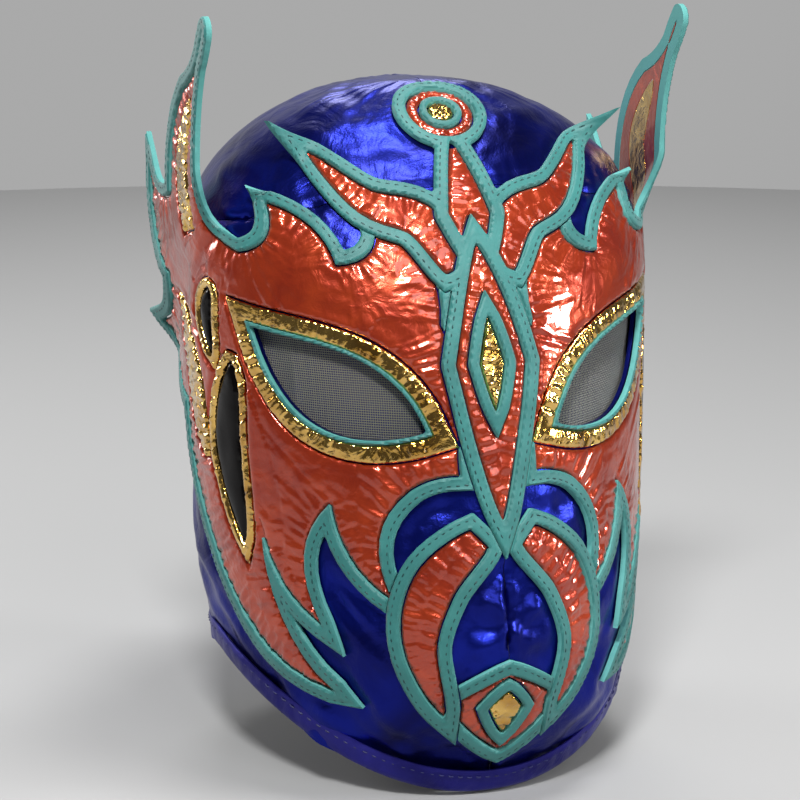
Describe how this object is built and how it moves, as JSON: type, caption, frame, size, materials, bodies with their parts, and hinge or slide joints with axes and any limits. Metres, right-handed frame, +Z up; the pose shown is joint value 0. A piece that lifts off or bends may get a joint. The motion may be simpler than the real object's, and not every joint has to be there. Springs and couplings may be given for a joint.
{
  "type": "wrestling mask",
  "caption": "Full-head laced wrestling mask: metallic leather hood with mesh eyes, temple points and padded appliques in foil and gold.",
  "frame": {"origin": "inside of the crown, where the top of the wearer's head sits", "axes": "+Z up, the face looks along -Y, the wearer's left side is +X"},
  "size_m": [0.1802, 0.2078, 0.2791],
  "materials": {
    "blue_leather": "metallic royal blue, satin",
    "teal_leather": "matt teal, stitched near its edges",
    "orange_foil": "crinkled metallic orange-red foil",
    "gold_foil": "crinkled mirror-like gold foil",
    "black_patent": "patent black",
    "eye_mesh": "fine woven silver-grey mesh",
    "brass": "polished",
    "lace": "woven"
  },
  "bodies": {
    "root": {"crown_panel_left": "blue_leather", "crown_panel_right": "blue_leather", "face_panel_left": "blue_leather", "face_panel_right": "blue_leather", "nape_panel_left": "blue_leather", "nape_panel_right": "blue_leather", "hem_binding": "blue_leather", "back_tongue": "blue_leather", "back_lace": "lace", "eyelet_1_left": "brass", "eyelet_2_left": "brass", "eyelet_3_left": "brass", "eyelet_4_left": "brass", "eyelet_5_left": "brass", "eyelet_6_left": "brass", "eye_mesh_left": "eye_mesh", "eye_binding_left": "teal_leather", "eye_surround_left": "gold_foil", "long_black_leaf_left": "black_patent", "short_black_leaf_left": "black_patent", "side_frame_left": "teal_leather", "side_foil_left": "orange_foil", "upper_gold_flame_left": "gold_foil", "lower_gold_flame_left": "gold_foil", "crest_flame_foil_left": "orange_foil", "fang_frame_left": "teal_leather", "fang_foil_left": "orange_foil", "eyelet_1_right": "brass", "eyelet_2_right": "brass", "eyelet_3_right": "brass", "eyelet_4_right": "brass", "eyelet_5_right": "brass", "eyelet_6_right": "brass", "eye_mesh_right": "eye_mesh", "eye_binding_right": "teal_leather", "eye_surround_right": "gold_foil", "long_black_leaf_right": "black_patent", "short_black_leaf_right": "black_patent", "side_frame_right": "teal_leather", "side_foil_right": "orange_foil", "upper_gold_flame_right": "gold_foil", "lower_gold_flame_right": "gold_foil", "crest_flame_foil_right": "orange_foil", "fang_frame_right": "teal_leather", "fang_foil_right": "orange_foil", "crest_frame": "teal_leather", "bridge_foil": "orange_foil", "bridge_rim": "teal_leather", "bridge_gold": "gold_foil", "tall_flame_foil": "orange_foil", "disc_foil": "orange_foil", "disc_rim": "teal_leather", "disc_gold": "gold_foil", "chin_frame": "teal_leather", "chin_foil": "orange_foil", "chin_rim": "teal_leather", "chin_gold": "gold_foil"}
  },
  "joints": []
}
